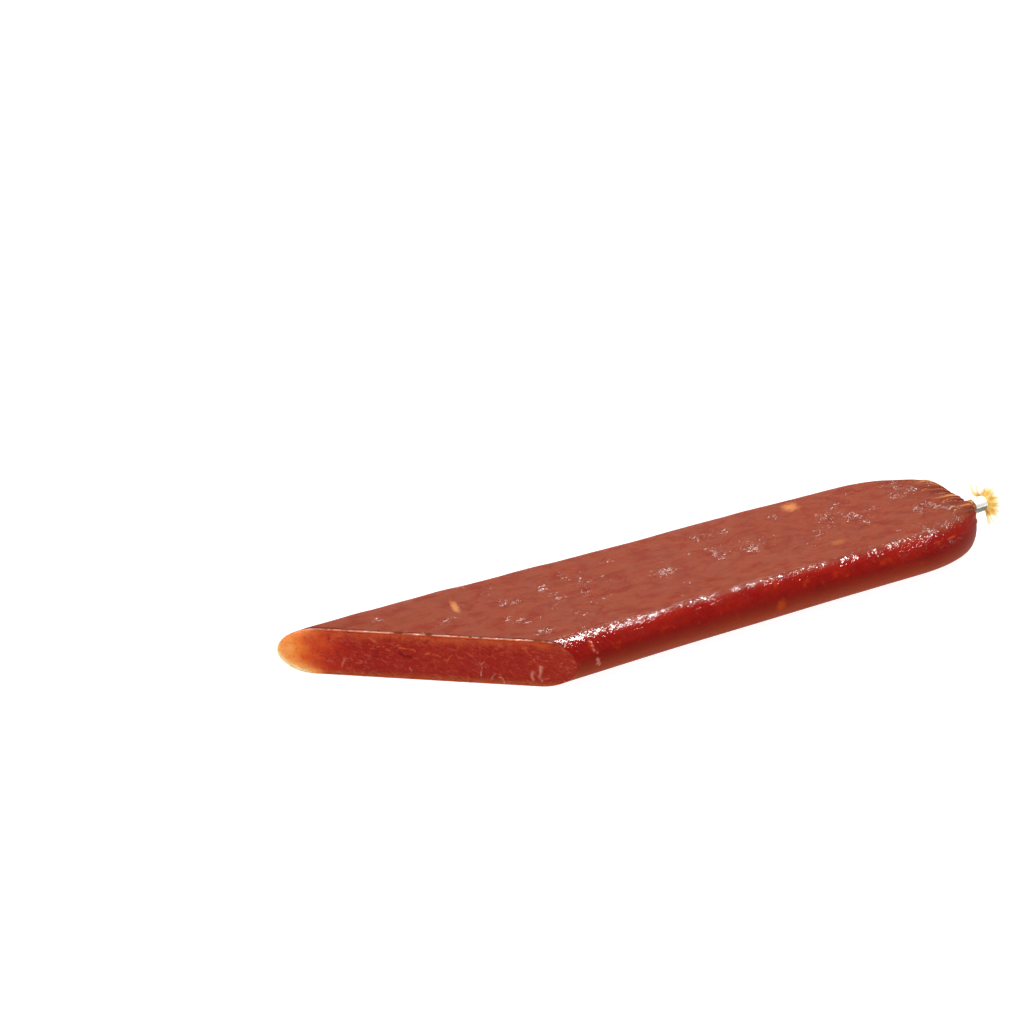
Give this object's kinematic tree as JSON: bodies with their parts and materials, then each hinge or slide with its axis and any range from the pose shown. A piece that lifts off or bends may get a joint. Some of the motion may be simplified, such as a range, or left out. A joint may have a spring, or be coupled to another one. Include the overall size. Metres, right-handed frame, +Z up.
{
  "type": "cured sausage",
  "caption": "Flat pressed cured sausage in natural casing, cut on a bias at one end and gathered into a metal clip with a ruffled tail at the other.",
  "frame": {"origin": "under the middle of the whole part's bounding box, on the surface that it lies on", "axes": "+X along the stick from the cut towards the clip, +Y across it towards the side that the cut leaves longer, +Z up"},
  "size_m": [0.244, 0.0524, 0.0153],
  "materials": {
    "cured_meat": "satin natural casing over deep red translucent meat",
    "clip_metal": "bright crimped aluminium",
    "dry_casing": "dry translucent golden casing"
  },
  "bodies": {
    "root": {"sausage": "cured_meat", "clip": "clip_metal", "casing_tail": "dry_casing"}
  },
  "joints": []
}
